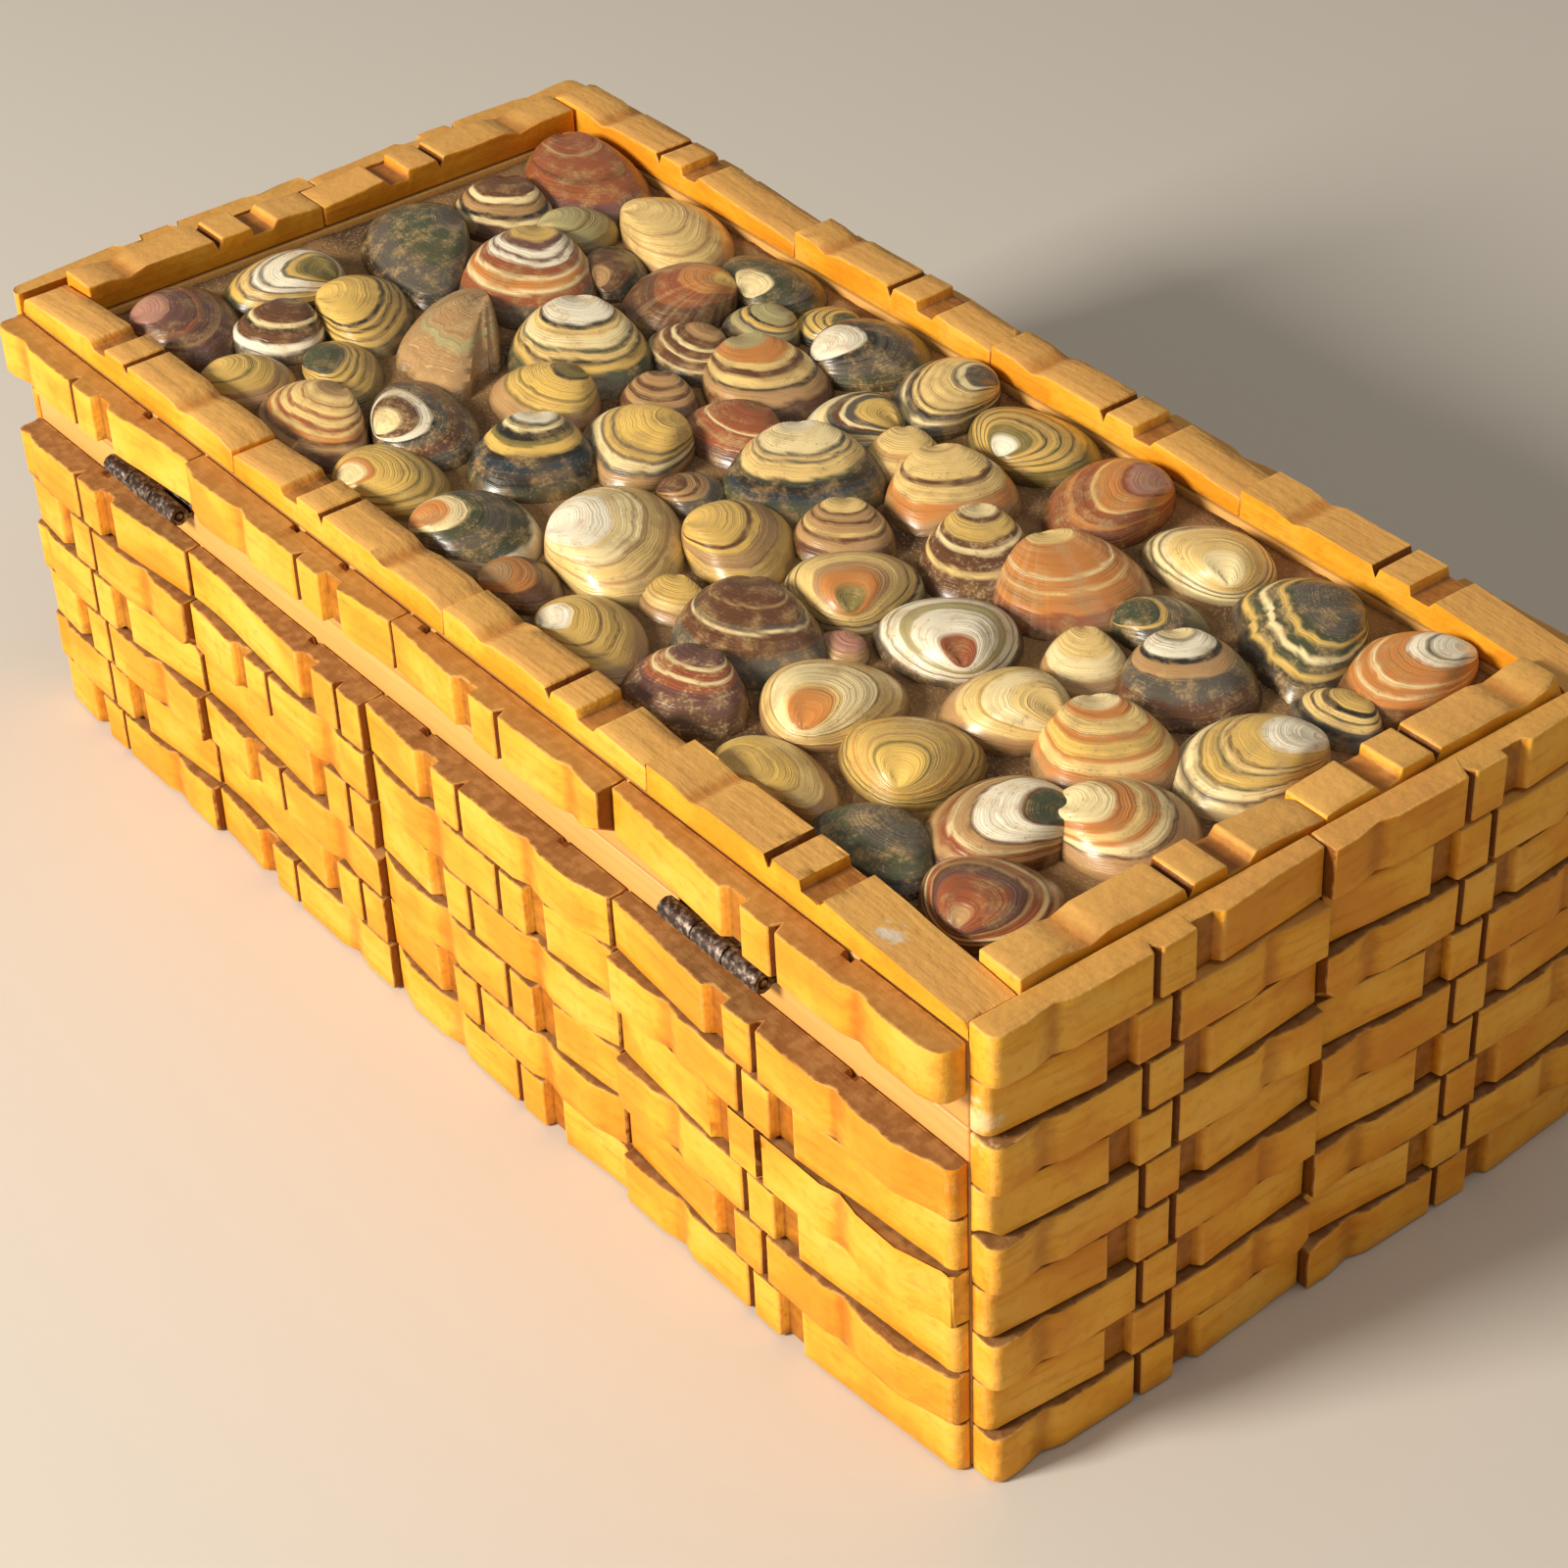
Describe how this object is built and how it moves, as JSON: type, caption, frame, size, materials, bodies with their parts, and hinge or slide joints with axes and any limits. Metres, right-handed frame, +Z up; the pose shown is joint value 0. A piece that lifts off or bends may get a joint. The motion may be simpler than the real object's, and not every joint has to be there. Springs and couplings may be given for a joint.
{
  "type": "shell box",
  "caption": "Rectangular wooden trinket box faced with basket-weave tiles, with a hinged lid whose recessed top is set with sea shells.",
  "frame": {"origin": "middle of the underside of the box, on the surface it stands on", "axes": "+X along the length towards the far end, +Y towards the hinged long side, +Z up"},
  "size_m": [0.3148, 0.1568, 0.1004],
  "materials": {
    "carcass_wood": "thin honey varnish over plain softwood, satin, darker in the recesses",
    "woven_wood": "honey-coloured varnished split-wood strands, satin, brown in the grooves",
    "shell_bed": "matt sandy filler",
    "shell": "varnished sea shell, banded cream, tan, brown and grey, glossy on the beaks",
    "hinge_metal": "dark tarnished metal, dull with worn bright edges"
  },
  "bodies": {
    "base": {"base_box": "carcass_wood", "body_tile_back_1": "woven_wood", "body_tile_back_2": "woven_wood", "body_tile_back_3": "woven_wood", "body_tile_back_4": "woven_wood", "body_tile_far_end_1": "woven_wood", "body_tile_far_end_2": "woven_wood", "body_tile_front_1": "woven_wood", "body_tile_front_2": "woven_wood", "body_tile_front_3": "woven_wood", "body_tile_front_4": "woven_wood", "body_tile_near_end_1": "woven_wood", "body_tile_near_end_2": "woven_wood", "hinge_base_leaf_far": "hinge_metal", "hinge_base_leaf_near": "hinge_metal", "hinge_pin_far": "hinge_metal", "hinge_pin_near": "hinge_metal"},
    "lid": {"hinge_lid_leaf_far": "hinge_metal", "hinge_lid_leaf_near": "hinge_metal", "lid_frame": "carcass_wood", "lid_tile_back_1": "woven_wood", "lid_tile_back_2": "woven_wood", "lid_tile_back_3": "woven_wood", "lid_tile_back_4": "woven_wood", "lid_tile_far_end_1": "woven_wood", "lid_tile_far_end_2": "woven_wood", "lid_tile_front_1": "woven_wood", "lid_tile_front_2": "woven_wood", "lid_tile_front_3": "woven_wood", "lid_tile_front_4": "woven_wood", "lid_tile_near_end_1": "woven_wood", "lid_tile_near_end_2": "woven_wood", "rim_strip_back_1": "woven_wood", "rim_strip_back_2": "woven_wood", "rim_strip_back_3": "woven_wood", "rim_strip_back_4": "woven_wood", "rim_strip_far_end_1": "woven_wood", "rim_strip_far_end_2": "woven_wood", "rim_strip_front_1": "woven_wood", "rim_strip_front_2": "woven_wood", "rim_strip_front_3": "woven_wood", "rim_strip_front_4": "woven_wood", "rim_strip_near_end_1": "woven_wood", "rim_strip_near_end_2": "woven_wood", "shell_bed": "shell_bed", "shells_centre_back": "shell", "shells_centre_front": "shell", "shells_centre_middle": "shell", "shells_far_back": "shell", "shells_far_front": "shell", "shells_far_middle": "shell", "shells_left_back": "shell", "shells_left_front": "shell", "shells_left_middle": "shell", "shells_near_back": "shell", "shells_near_front": "shell", "shells_near_middle": "shell", "shells_right_back": "shell", "shells_right_front": "shell", "shells_right_middle": "shell"}
  },
  "joints": [
    {"name": "lid_hinge", "type": "hinge", "parent": "base", "child": "lid", "pos_m": [0, 0.0744, 0.076], "axis": [-1, 0, 0], "range_deg": [0, 105]}
  ]
}
